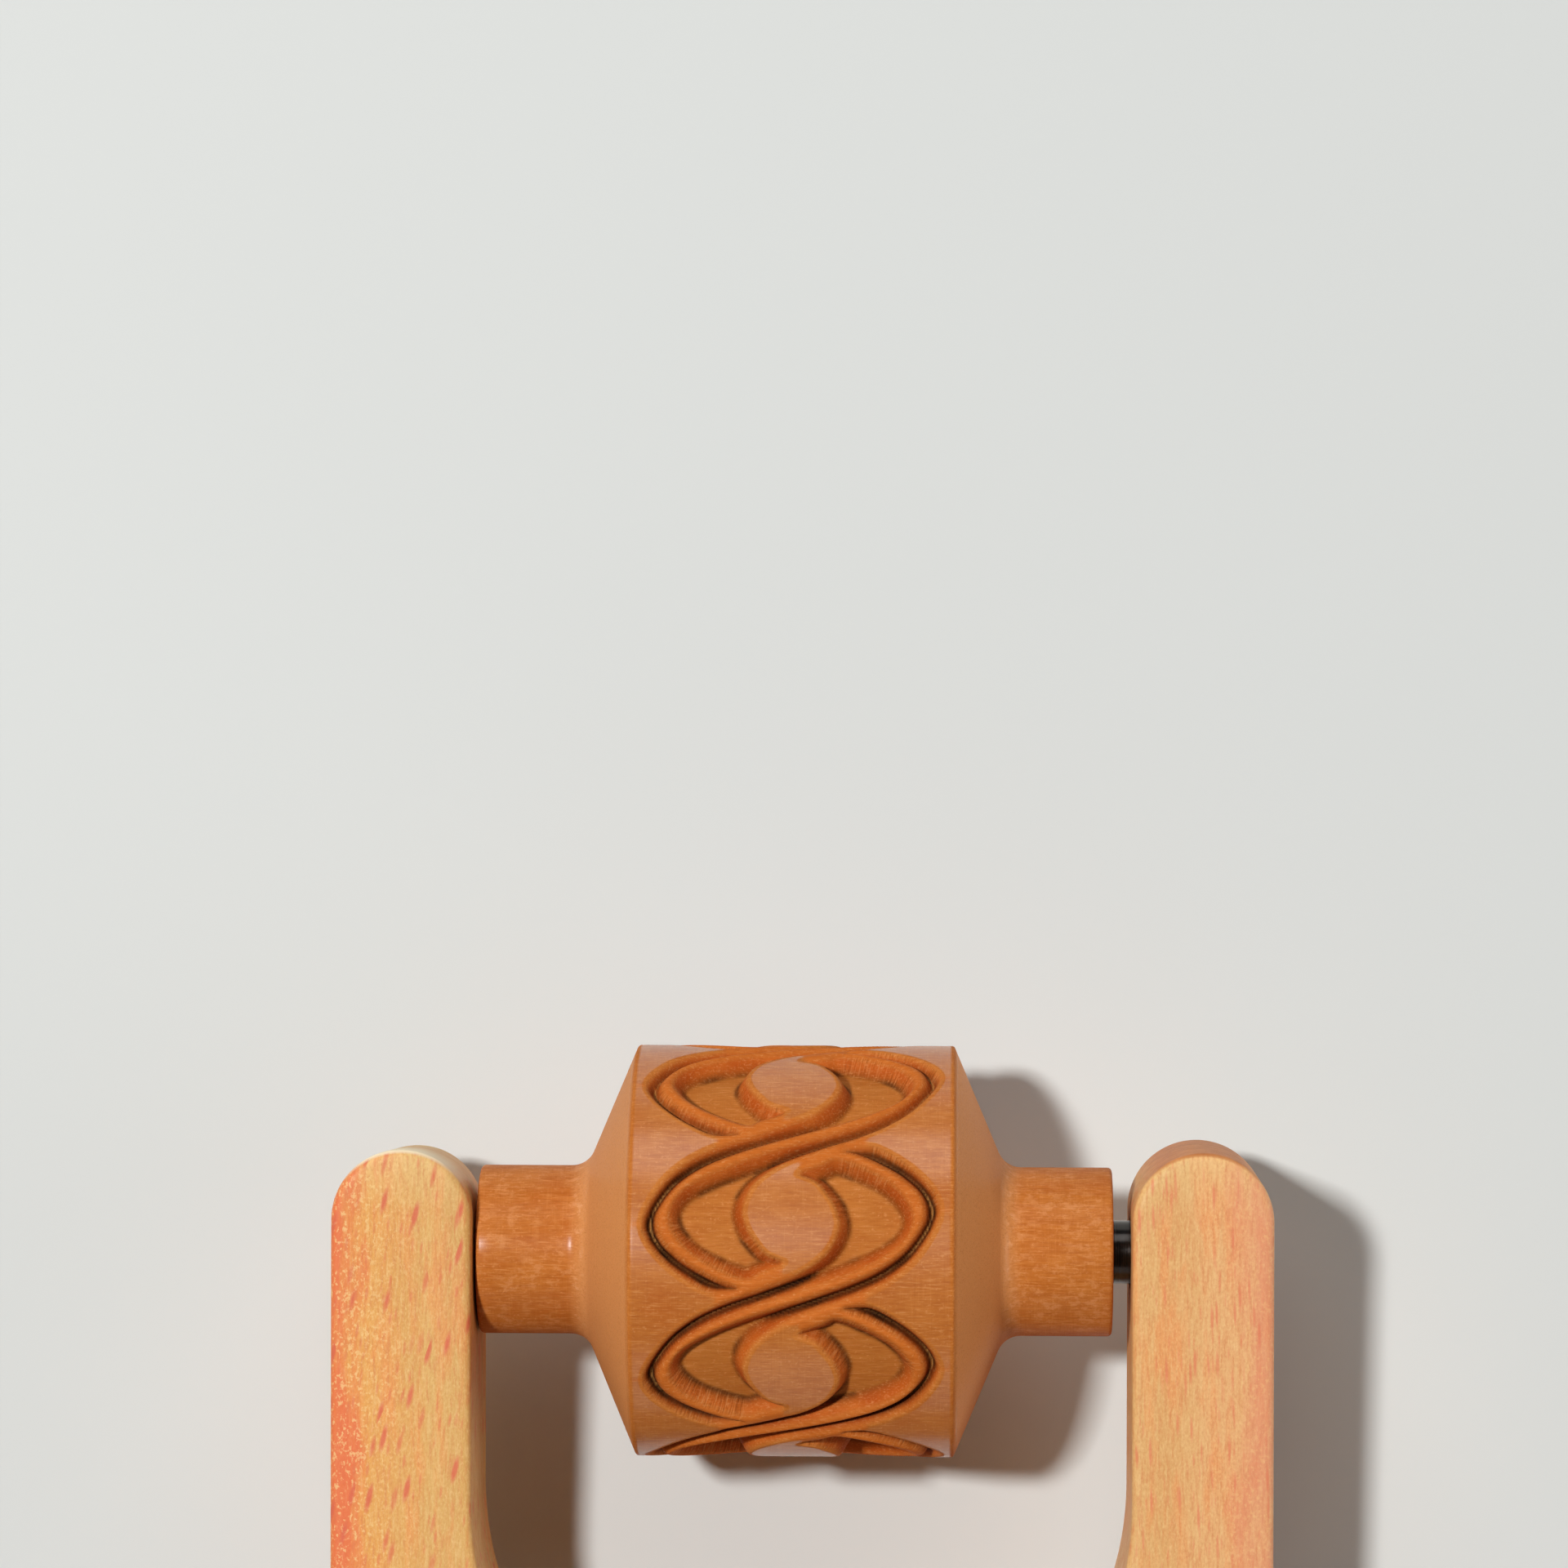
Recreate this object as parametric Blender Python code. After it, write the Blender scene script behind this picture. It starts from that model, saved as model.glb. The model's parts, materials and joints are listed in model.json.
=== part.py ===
"""Clay texture roller: a carved wooden roller turning on a steel pin between the arms of a beech fork.

Metres, +Z up. The tool stands on the plane z = 0, on its drum and on the end of its grip. The pin lies
along X, and the grip points towards -Y.
"""

import math

import bmesh
import bpy
from mathutils import Matrix, Vector
from mathutils.geometry import interpolate_bezier

MM = 0.001
HALF = 0.5

# The turned roller
DRUM_DIAMETER = 39.0 * MM
DRUM_WIDTH = 30.0 * MM
RIM_ROUNDING = 0.35 * MM
CONE_LENGTH = 4.85 * MM
CONE_FILLET = 2.3 * MM
HUB_DIAMETER = 16.0 * MM
HUB_LENGTH = 10.15 * MM
HUB_ROUNDING = 0.4 * MM
BORE_CLEARANCE = 0.3 * MM

# The carving on the drum
REPEATS = 8
BAND_HALF_WIDTH = 13.7 * MM
POCKET_DEPTH = 1.8 * MM
WALL_RUN = 1.05 * MM
CUTTER_OVERRUN = 0.4 * MM
CARVING_PHASE = math.radians(-10.4)
WALL_SHARE = 0.46

# The pin
PIN_DIAMETER = 6.0 * MM
PIN_CHAMFER = 0.5 * MM
PIN_RECESS = 0.25 * MM
PIN_HOLE_CLEARANCE = 0.15 * MM

# The fork, measured along its own board: forward of the pin is +, behind it is -
BOARD_THICKNESS = 19.0 * MM
ARM_WIDTH = 13.25 * MM
ARM_TIP_REACH = 10.1 * MM
END_FLOAT = 2.0 * MM
LEFT_GAP = 0.25 * MM
CROTCH_REACH = 54.0 * MM
SHOULDER_REACH = 44.0 * MM
SHOULDER_RADIUS = 30.0 * MM
NECK_REACH = 72.0 * MM
NECK_RADIUS = 30.0 * MM
NECK_WIDTH = 26.0 * MM
GRIP_REACH = 160.0 * MM
GRIP_END_WIDTH = 30.0 * MM
EDGE_ROUNDING = 0.8 * MM

# How finely round shapes are divided
ROLLER_SIDES = 64
PIN_SIDES = 32
ARC_STEP = math.radians(9.0)
EDGE_STEPS = 3
SPAN_POINTS = 3
HANDLE_SHARE = HALF / 3
SHARP_ANGLE = math.radians(38.0)
HOLE_OVERRUN = 2.0 * MM
MERGE_DISTANCE = 0.001 * MM

# Sizes that follow
DRUM_RADIUS = DRUM_DIAMETER * HALF
HUB_RADIUS = HUB_DIAMETER * HALF
PIN_RADIUS = PIN_DIAMETER * HALF
BORE_RADIUS = PIN_RADIUS + BORE_CLEARANCE
REPEAT = math.tau * DRUM_RADIUS / REPEATS
CONE_END = DRUM_WIDTH * HALF + CONE_LENGTH
ROLLER_HALF_LENGTH = CONE_END + HUB_LENGTH
FORK_GAP = ROLLER_HALF_LENGTH / HALF + END_FLOAT
ARM_INSIDE = FORK_GAP * HALF
ARM_OUTSIDE = ARM_INSIDE + ARM_WIDTH
PIN_HALF_LENGTH = ARM_OUTSIDE - PIN_RECESS
ROLLER_SHIFT = LEFT_GAP - END_FLOAT * HALF

# The tilt that rests both the drum and the lower edge of the grip's end on the ground
EDGE_CENTRE_REACH = GRIP_REACH - EDGE_ROUNDING
EDGE_CENTRE_HEIGHT = BOARD_THICKNESS * HALF - EDGE_ROUNDING
EDGE_CENTRE_RADIUS = math.hypot(EDGE_CENTRE_REACH, EDGE_CENTRE_HEIGHT)
TILT = math.asin((DRUM_RADIUS - EDGE_ROUNDING) / EDGE_CENTRE_RADIUS) - math.atan2(
    EDGE_CENTRE_HEIGHT, EDGE_CENTRE_REACH
)
REAR_REACH = (
    EDGE_CENTRE_REACH * math.cos(TILT) + EDGE_CENTRE_HEIGHT * math.sin(TILT) + EDGE_ROUNDING
)
AXIS = Vector((0, (REAR_REACH - DRUM_RADIUS) * HALF, DRUM_RADIUS))

# One carved stroke: a broad pocket beside the boss at the origin runs out along the diagonal
# and hooks round the next boss as a narrow groove. Each row is one place along the stroke, and
# holds a point of its outer edge and one of its inner edge. Across the drum they are shares of the
# band's half width, and round it shares of the repeat.
STROKE_SHARES = (
    (-0.07, -0.300, -0.04, -0.268),
    (-0.20, -0.345, -0.16, -0.222),
    (-0.31, -0.385, -0.235, -0.145),
    (-0.52, -0.310, -0.285, -0.075),
    (-0.695, -0.208, -0.312, -0.005),
    (-0.805, -0.080, -0.318, 0.045),
    (-0.825, 0.040, -0.305, 0.105),
    (-0.750, 0.165, -0.275, 0.165),
    (-0.57, 0.275, -0.225, 0.225),
    (-0.33, 0.372, -0.13, 0.295),
    (-0.08, 0.452, 0.01, 0.365),
    (0.17, 0.530, 0.23, 0.447),
    (0.40, 0.610, 0.455, 0.522),
    (0.60, 0.700, 0.675, 0.625),
    (0.765, 0.820, 0.86, 0.775),
    (0.885, 0.990, 1.00, 1.000),
    (0.865, 1.130, 0.975, 1.145),
    (0.745, 1.245, 0.85, 1.285),
    (0.60, 1.330, 0.69, 1.395),
    (0.46, 1.395, 0.53, 1.465),
    (0.34, 1.430, 0.36, 1.455),
)


def clear_scene():
    """Empties the scene of every object."""
    for thing in list(bpy.data.objects):
        bpy.data.objects.remove(thing)


def material(name, colour, roughness, metallic):
    """A plain Principled material."""
    made = bpy.data.materials.new(name)
    made.use_nodes = True
    made.diffuse_color = (*colour, 1)
    shader = made.node_tree.nodes["Principled BSDF"]
    shader.inputs["Base Color"].default_value = (*colour, 1)
    shader.inputs["Roughness"].default_value = roughness
    shader.inputs["Metallic"].default_value = metallic
    return made


def object_from(bm, name, surface=None):
    """Turns a bmesh into a linked object, shaded smooth up to its sharp edges."""
    bmesh.ops.recalc_face_normals(bm, faces=bm.faces)
    mesh = bpy.data.meshes.new(name)
    bm.to_mesh(mesh)
    bm.free()
    mesh.shade_smooth()
    mesh.set_sharp_from_angle(angle=SHARP_ANGLE)
    made = bpy.data.objects.new(name, mesh)
    bpy.context.collection.objects.link(made)
    if surface:
        mesh.materials.append(surface)
    return made


def as_cutter(thing):
    """Marks an object as a tool that cuts others and isn't part of the product."""
    thing.hide_render = True
    thing.display_type = "WIRE"
    return thing


def cut(thing, cutter):
    """Takes the cutter's volume away from an object."""
    boolean = thing.modifiers.new(cutter.name, "BOOLEAN")
    boolean.object = cutter
    boolean.operation = "DIFFERENCE"
    boolean.solver = "EXACT"


def arc(centre, radius, start, end, step=ARC_STEP):
    """Points of a circular arc, both ends included."""
    count = max(1, round(abs(end - start) / step))
    angles = [start + (end - start) * index / count for index in range(count + 1)]
    return [
        Vector((centre[0] + radius * math.cos(angle), centre[1] + radius * math.sin(angle)))
        for angle in angles
    ]


def rounded(corners):
    """A closed outline through corners (x, y, radius), each corner rounded by its own arc."""
    outline = []
    for index, (x, y, radius) in enumerate(corners):
        here = Vector((x, y))
        before = (Vector(corners[index - 1][:2]) - here).normalized()
        after = (Vector(corners[(index + 1) % len(corners)][:2]) - here).normalized()
        half_angle = before.angle(after) * HALF
        centre = here + (before + after).normalized() * (radius / math.sin(half_angle))
        setback = radius / math.tan(half_angle)
        first = here + before * setback - centre
        last = here + after * setback - centre
        start = math.atan2(first.y, first.x)
        sweep = math.remainder(math.atan2(last.y, last.x) - start, math.tau)
        outline += arc(centre, radius, start, start + sweep)
    return [
        point
        for index, point in enumerate(outline)
        if (point - outline[index - 1]).length > MERGE_DISTANCE
    ]


def turned(name, profile, sides, surface=None):
    """Turns a closed profile of (along, radius) points about the X axis."""
    bm = bmesh.new()
    points = [bm.verts.new((along, 0, radius)) for along, radius in profile]
    edges = [bm.edges.new((points[index - 1], points[index])) for index in range(len(points))]
    bmesh.ops.spin(
        bm,
        geom=points + edges,
        cent=(0, 0, 0),
        axis=(1, 0, 0),
        angle=math.tau,
        steps=sides,
        use_merge=True,
    )
    bmesh.ops.remove_doubles(bm, verts=bm.verts, dist=MERGE_DISTANCE)
    return object_from(bm, name, surface)


def roller_profile():
    """Half of the roller from its middle to its end, then mirrored and closed along the bore."""
    cone_angle = math.atan2(DRUM_RADIUS - HUB_RADIUS, CONE_LENGTH)
    rim_setback = RIM_ROUNDING * math.tan(cone_angle * HALF)
    rim = arc(
        (DRUM_WIDTH * HALF - rim_setback, DRUM_RADIUS - RIM_ROUNDING),
        RIM_ROUNDING,
        math.pi * HALF,
        math.pi * HALF - cone_angle,
        cone_angle * HALF,
    )
    fillet_setback = CONE_FILLET * math.tan(cone_angle * HALF)
    fillet = arc(
        (CONE_END + fillet_setback, HUB_RADIUS + CONE_FILLET),
        CONE_FILLET,
        -math.pi * HALF - cone_angle,
        -math.pi * HALF,
        cone_angle * HALF * HALF,
    )
    hub_edge = arc(
        (ROLLER_HALF_LENGTH - HUB_ROUNDING, HUB_RADIUS - HUB_ROUNDING),
        HUB_ROUNDING,
        math.pi * HALF,
        0,
        math.pi * HALF * HALF,
    )
    half = rim + fillet + hub_edge + [Vector((ROLLER_HALF_LENGTH, BORE_RADIUS))]
    return half + [Vector((-along, radius)) for along, radius in reversed(half)]


def wrapped(along, round_drum, radius):
    """A point of the flat pattern wrapped round the drum, from the top towards the grip."""
    angle = round_drum / DRUM_RADIUS + CARVING_PHASE
    return (along, -radius * math.sin(angle), radius * math.cos(angle))


def smooth_line(points):
    """A line through points, curved on each span so that it leaves a point along its neighbours' chord."""
    padded = [points[0], *points, points[-1]]
    line = []
    for before, start, end, after in zip(padded, padded[1:], padded[2:], padded[3:]):
        leaving = start + (end - before) * HANDLE_SHARE
        arriving = end - (after - start) * HANDLE_SHARE
        line += interpolate_bezier(start, leaving, arriving, end, round(SPAN_POINTS))[:-1]
    return line + [points[-1]]


def stroke_edges(side):
    """Pairs of outer and inner edge points all along one stroke."""
    scale = Vector((BAND_HALF_WIDTH, -REPEAT)) * side
    outer = smooth_line([Vector(row[:2]) * scale for row in STROKE_SHARES])
    inner = smooth_line([Vector(row[2:]) * scale for row in STROKE_SHARES])
    return list(zip(outer, inner))


def stroke_ring(outer, inner):
    """The cutter's section at one place of a stroke: sloped walls and a floor, deeper where it is wide."""
    width = (inner - outer).length
    across = (inner - outer) / width
    run = min(WALL_RUN, width * WALL_SHARE)
    depth = run * POCKET_DEPTH / WALL_RUN
    rise = across * (CUTTER_OVERRUN * WALL_RUN / POCKET_DEPTH)
    floor_start = outer + across * run
    floor_end = inner - across * run
    return [
        (outer - rise, DRUM_RADIUS + CUTTER_OVERRUN),
        (floor_start, DRUM_RADIUS - depth),
        ((floor_start + floor_end) * HALF, DRUM_RADIUS - depth),
        (floor_end, DRUM_RADIUS - depth),
        (inner + rise, DRUM_RADIUS + CUTTER_OVERRUN),
    ]


def stroke_cutter(name, side):
    """All strokes of one hand, side 1 or -1, as closed lofts round the drum."""
    bm = bmesh.new()
    edges = stroke_edges(side)
    for repeat in range(REPEATS):
        rings = []
        for outer, inner in edges:
            ring = stroke_ring(outer, inner)
            rings.append(
                [bm.verts.new(wrapped(at.x, at.y + repeat * REPEAT, radius)) for at, radius in ring]
            )
        for ring, following in zip(rings, rings[1:]):
            for index in range(len(ring)):
                bm.faces.new((ring[index - 1], ring[index], following[index], following[index - 1]))
        bm.faces.new(rings[0])
        bm.faces.new(rings[-1])
    return as_cutter(object_from(bm, name))


def texture_roller(surface):
    """The roller, turned with its bore, then carved with the interlace of strokes."""
    roller = turned("texture_roller", roller_profile(), ROLLER_SIDES, surface)
    for name, side in (("stroke_cutter", 1), ("return_stroke_cutter", -1)):
        cutter = stroke_cutter(name, side)
        cutter.parent = roller
        cut(roller, cutter)
    return roller


def rod(name, radius, half_length, surface=None):
    """A plain round rod along X."""
    bm = bmesh.new()
    bmesh.ops.create_cone(
        bm,
        cap_ends=True,
        segments=PIN_SIDES,
        radius1=radius,
        radius2=radius,
        depth=half_length / HALF,
        matrix=Matrix.Rotation(math.pi * HALF, 4, "Y"),
    )
    return object_from(bm, name, surface)


def bevelled(thing, width, steps):
    """Rounds over or chamfers the sharp edges of an object."""
    bevel = thing.modifiers.new("edges", "BEVEL")
    bevel.width = width
    bevel.segments = steps
    bevel.limit_method = "ANGLE"
    bevel.angle_limit = SHARP_ANGLE
    bevel.use_clamp_overlap = False


def axle_pin(surface):
    """The plain steel pin with chamfered ends."""
    pin = rod("axle_pin", PIN_RADIUS, PIN_HALF_LENGTH, surface)
    bevelled(pin, PIN_CHAMFER, 1)
    return pin


def fork_outline():
    """The fork seen from above, from the left arm's tip round the crotch and back round the grip."""
    tip = ARM_WIDTH * HALF
    neck = NECK_WIDTH * HALF
    end = GRIP_END_WIDTH * HALF
    grip_flare = math.atan2(end - neck, GRIP_REACH - NECK_REACH)
    end_radius = end * math.tan((math.pi * HALF - grip_flare) * HALF)
    right = [
        (ARM_INSIDE, -CROTCH_REACH, ARM_INSIDE),
        (ARM_INSIDE, ARM_TIP_REACH, tip),
        (ARM_OUTSIDE, ARM_TIP_REACH, tip),
        (ARM_OUTSIDE, -SHOULDER_REACH, SHOULDER_RADIUS),
        (neck, -NECK_REACH, NECK_RADIUS),
        (end, -GRIP_REACH, end_radius),
    ]
    return rounded(right + [(-x, y, radius) for x, y, radius in reversed(right)])


def fork_handle(surface):
    """The fork sawn from one board, its edges rounded over, with a hole through each arm for the pin."""
    bm = bmesh.new()
    low = Vector((0, 0, -BOARD_THICKNESS * HALF))
    outline = [bm.verts.new(point.to_3d() + low) for point in fork_outline()]
    board = bm.faces.new(outline)
    raised = bmesh.ops.extrude_face_region(bm, geom=[board], use_keep_orig=True)
    top = [item for item in raised["geom"] if isinstance(item, bmesh.types.BMVert)]
    bmesh.ops.translate(bm, verts=top, vec=(0, 0, BOARD_THICKNESS))
    fork = object_from(bm, "fork_handle", surface)
    bevelled(fork, EDGE_ROUNDING, EDGE_STEPS)
    hole = rod("pin_hole_cutter", PIN_RADIUS + PIN_HOLE_CLEARANCE, ARM_OUTSIDE + HOLE_OVERRUN)
    as_cutter(hole).parent = fork
    cut(fork, hole)
    return fork


def build():
    """Clears the scene and sets the three pieces on the pin's axis."""
    clear_scene()
    beech = material("beech", (0.72, 0.45, 0.20), 0.45, 0.0)
    carved_wood = material("carved_wood", (0.52, 0.20, 0.06), 0.5, 0.0)
    steel = material("steel", (0.62, 0.62, 0.62), 0.25, 1.0)
    axis = bpy.data.objects.new("pin_axis", None)
    bpy.context.collection.objects.link(axis)
    axis.location = AXIS
    fork = fork_handle(beech)
    fork.rotation_euler.x = TILT
    roller = texture_roller(carved_wood)
    roller.location.x = ROLLER_SHIFT
    pin = axle_pin(steel)
    for thing in (fork, roller, pin):
        thing.parent = axis


build()
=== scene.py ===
"""Clay texture roller: the finish of a carved wooden roller on a steel pin in a beech fork.

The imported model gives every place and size. Each piece here is a surface worked out with numpy, and stands
for one node of that model.
"""

import json
import math

import bpy
import numpy as np
from bpy.props import FloatProperty, FloatVectorProperty, IntProperty, PointerProperty
from bpy.types import Operator, Panel, PropertyGroup
from mathutils import Euler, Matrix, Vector


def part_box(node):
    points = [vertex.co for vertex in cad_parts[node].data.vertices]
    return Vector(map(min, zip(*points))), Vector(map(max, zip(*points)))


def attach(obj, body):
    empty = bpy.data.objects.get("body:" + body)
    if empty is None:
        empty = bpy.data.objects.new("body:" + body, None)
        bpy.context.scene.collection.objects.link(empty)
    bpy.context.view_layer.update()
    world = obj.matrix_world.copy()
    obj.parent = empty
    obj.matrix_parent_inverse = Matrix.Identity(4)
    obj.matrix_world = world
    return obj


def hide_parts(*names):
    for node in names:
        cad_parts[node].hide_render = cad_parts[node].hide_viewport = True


bl_info = {
    "name": "Clay texture roller",
    "version": (1, 0, 0),
    "blender": (4, 5, 0),
    "location": "View3D > Sidebar > Clay roller",
    "description": "Builds a carved clay texture roller in its beech fork",
    "category": "Add Mesh",
}

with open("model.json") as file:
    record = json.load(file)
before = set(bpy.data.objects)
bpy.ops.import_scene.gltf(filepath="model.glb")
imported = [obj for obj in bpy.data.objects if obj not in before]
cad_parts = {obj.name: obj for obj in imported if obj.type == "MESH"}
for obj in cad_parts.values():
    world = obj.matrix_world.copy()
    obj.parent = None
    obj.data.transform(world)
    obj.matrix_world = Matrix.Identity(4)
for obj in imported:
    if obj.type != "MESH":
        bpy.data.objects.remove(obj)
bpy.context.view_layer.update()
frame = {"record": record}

MM = 0.001
HALF = 0.5
QUARTER_TURN = math.pi * HALF

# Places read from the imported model
SPIN = next(joint for joint in frame["record"]["behaviour"]["joints"] if joint["name"] == "roller_spin")
AXIS = np.array(SPIN["pos_m"])
ROLLER_LOW, ROLLER_HIGH = (np.array(corner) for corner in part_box("texture_roller"))
PIN_LOW, PIN_HIGH = (np.array(corner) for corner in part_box("axle_pin"))
ROLLER_X = (ROLLER_LOW[0] + ROLLER_HIGH[0]) * HALF
ROLLER_HALF = (ROLLER_HIGH[0] - ROLLER_LOW[0]) * HALF
DRUM_RADIUS = (ROLLER_HIGH[2] - ROLLER_LOW[2]) * HALF
PIN_RADIUS = (PIN_HIGH[2] - PIN_LOW[2]) * HALF
PIN_HALF = (PIN_HIGH[0] - PIN_LOW[0]) * HALF
ARM_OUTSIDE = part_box("fork_handle")[1][0]

# The fork's own sizes, along its board from the pin
BOARD_THICKNESS = 19.0 * MM
ARM_WIDTH = 13.25 * MM
ARM_TIP_REACH = 10.1 * MM
CROTCH_REACH = 54.0 * MM
SHOULDER_REACH = 44.0 * MM
SHOULDER_RADIUS = 30.0 * MM
NECK_REACH = 72.0 * MM
NECK_RADIUS = 30.0 * MM
NECK_WIDTH = 26.0 * MM
GRIP_REACH = 160.0 * MM
GRIP_END_WIDTH = 30.0 * MM
EDGE_ROUNDING = 0.8 * MM
FACE_INSET = 0.4 * MM
ARM_INSIDE = ARM_OUTSIDE - ARM_WIDTH
LEFT_TIP_UNDERCUT = 0.9 * MM
HOLE_RADIUS = PIN_RADIUS + 0.15 * MM
HOLE_EASE = 0.3 * MM
DRILL_OVERRUN = 1.0 * MM
LONGEST_SIDE = 2.5 * MM
SHORTEST_SIDE = 0.01 * MM

# The roller's own sizes
DRUM_WIDTH = 30.0 * MM
DRUM_HALF = DRUM_WIDTH * HALF
RIM_ROUNDING = 0.35 * MM
RIM_STRIP = 0.45 * MM
CONE_LENGTH = 4.85 * MM
CONE_END = DRUM_HALF + CONE_LENGTH
CONE_FILLET = 2.3 * MM
HUB_RADIUS = 8.0 * MM
HUB_ROUNDING = 0.4 * MM
BORE_RADIUS = PIN_RADIUS + 0.3 * MM
BORE_EASE = 0.3 * MM
REPEATS = 8
REPEAT = math.tau * DRUM_RADIUS / REPEATS
BAND_HALF_WIDTH = 13.7 * MM
CARVING_PHASE = math.radians(-10.4)
POCKET_BLEND = 0.5 * MM
WALL_FOOT = 1.05 * MM
FOOT_WIDTH = 0.22 * MM
# Half width of the worn edges, which the carved wood also paints paler as a painted highlight
EDGE_WEAR_AND_HIGHLIGHT_WIDTH = 0.22 * MM
RIB_SOFTENING = 1.2

# The pin's own sizes
PIN_EASE = 0.12 * MM

# How finely the surfaces are divided
DRUM_POINTS = 133
DRUM_SIDES_PER_END_SIDE = 4
SEARCH_STEPS = 5
SHAFT_POINTS = 24
ROD_SIDES = 96

# What the carved wood's colours go by: half widths of grooves and ribs, reaches along the pin and ahead
# of it, and how often the tool marks come along an edge and down a wall
GROOVE_FINEST, GROOVE_SURE, GROOVE_WIDEST = 0.4 * MM, 1.1 * MM, 1.35 * MM
BED_CORE, BED_EDGE = 0.234 * MM, 0.594 * MM
RIB_SURE, RIB_WIDEST, RIB_EDGE = 0.8 * MM, 1.0 * MM, 0.1 * MM
END_BLEND, CONE_BLEND = 0.4 * MM, 1.5 * MM
WORN_PLACE, WORN_CORE, WORN_EDGE = 0.4 * MM, 0.2 * MM, 0.8 * MM
RIM_CORE, RIM_EDGE = 0.2 * MM, 0.4 * MM
# Where the beds' painted darkening eases towards the drum's front, as painted light
LIT_BED_FROM, LIT_BED_TO = 7.0 * MM, 12.0 * MM
CHATTER_PER_MM, CHATTER_DOWN = 4.6, 0.9

# Where the beech changes its colour: in from the arms' outer faces and how far that wanders, and either side
# of the middle;
# and up from the ground, where the painted highlight on the left arm's tip grows paler
AMBER_FROM, AMBER_TO = 10.5 * MM, 3.0 * MM
RED_FROM, RED_TO = 4.0 * MM, 1.0 * MM
WANDER = 10.0 * MM
SIDE_BLEND = 10.0 * MM
LEFT_TIP_HIGHLIGHT_FROM, LEFT_TIP_HIGHLIGHT_TO = 18.0 * MM, 26.0 * MM

# The beech's flecks: stretch and lean of the cells, strength, chances from which a cell holds one, colour
LEFT_FLECKS = (
    ((1250, 290, 800), -0.22, 0.85, (0.74, 0.8), (220, 104, 76)),
    ((2400, 560, 1300), -0.12, 0.55, (0.76, 0.86), (222, 118, 78)),
)
RIGHT_FLECKS = (
    ((2300, 270, 1300), 0.03, 0.6, (0.76, 0.84), (226, 120, 86)),
    ((3400, 520, 1800), 0.0, 0.4, (0.74, 0.84), (228, 128, 90)),
)

# Stage: the floor's sizes, then name, place, width and height, and watts of each lamp, then the camera
FLOOR_HALF = 2.0
FLOOR_COLUMNS, FLOOR_ROWS = 9, 33
RISE_START = 1.2
RISE_HEIGHT = 0.3
LAMPS = (
    ("key", (-0.403, 0.232, 1.138), (0.1, 0.1), 12.1),
    ("window", (0.0, 1.1, 0.72), (1.6, 0.6), 4.4),
    ("right_fill", (1.2, 0.0, 0.25), (0.8, 0.6), 4.8),
    ("left_fill", (-1.2, 0.0, 0.2), (0.8, 0.5), 0.5),
    ("front_fill", (0.1, -1.2, 0.32), (1.6, 1.0), 2.2),
)
WORLD_STRENGTH = 0.03
CAMERA_PLACE = (0.0141, 0.08496, 0.5892)
CAMERA_TURN = (0.0525, 0.0282, 0.0045)
SENSOR_WIDTH = 36

# The board's tilt rests the drum and the lower edge of the grip's end on the ground
EDGE_CENTRE = np.array([GRIP_REACH - EDGE_ROUNDING, BOARD_THICKNESS * HALF - EDGE_ROUNDING])
TILT = math.asin((DRUM_RADIUS - EDGE_ROUNDING) / np.hypot(*EDGE_CENTRE)) - math.atan2(*EDGE_CENTRE[::-1])

# One carved stroke: rows of an outer and an inner edge point, as shares of the band's half width across
# the drum and of the repeat round it. The other hand's stroke is the same one turned half way round.
STROKE_SHARES = np.array([
    (-0.07, -0.300, -0.04, -0.268),
    (-0.20, -0.345, -0.16, -0.222),
    (-0.31, -0.385, -0.235, -0.145),
    (-0.52, -0.310, -0.285, -0.075),
    (-0.695, -0.208, -0.312, -0.005),
    (-0.805, -0.080, -0.318, 0.045),
    (-0.825, 0.040, -0.305, 0.105),
    (-0.750, 0.165, -0.275, 0.165),
    (-0.57, 0.275, -0.225, 0.225),
    (-0.33, 0.372, -0.13, 0.295),
    (-0.08, 0.452, 0.01, 0.365),
    (0.17, 0.530, 0.23, 0.447),
    (0.40, 0.610, 0.455, 0.522),
    (0.60, 0.700, 0.675, 0.625),
    (0.765, 0.820, 0.86, 0.775),
    (0.885, 0.990, 1.00, 1.000),
    (0.865, 1.130, 0.975, 1.145),
    (0.745, 1.245, 0.85, 1.285),
    (0.60, 1.330, 0.69, 1.395),
    (0.46, 1.395, 0.53, 1.465),
    (0.34, 1.430, 0.36, 1.455),
])


def smooth_line(points, steps):
    """A smooth line through points: on each span a cubic whose slope at a point is half the chord between
    the points on either side of it."""
    padded = np.vstack([2 * points[0] - points[1], points, 2 * points[-1] - points[-2]])
    before, start, end, after = padded[:-3], padded[1:-2], padded[2:-1], padded[3:]
    share = np.linspace(0, 1, steps, endpoint=False)[None, :, None]
    before, start, end, after = (part[:, None, :] for part in (before, start, end, after))
    spans = HALF * (
        2 * start
        + (end - before) * share
        + (2 * before - 5 * start + 4 * end - after) * share**2
        + (3 * start - before - 3 * end + after) * share**3
    )
    return np.vstack([spans.reshape(-1, points.shape[1]), points[-1:]])


def stroke_outline(side, steps=5):
    """The closed edge of one stroke, out along its outer edge and back along its inner one."""
    scale = np.array([BAND_HALF_WIDTH, -REPEAT]) * side
    outer = smooth_line(STROKE_SHARES[:, :2], steps) * scale
    inner = smooth_line(STROKE_SHARES[:, 2:], steps) * scale
    return np.vstack([outer, inner[::-1]])


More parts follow.
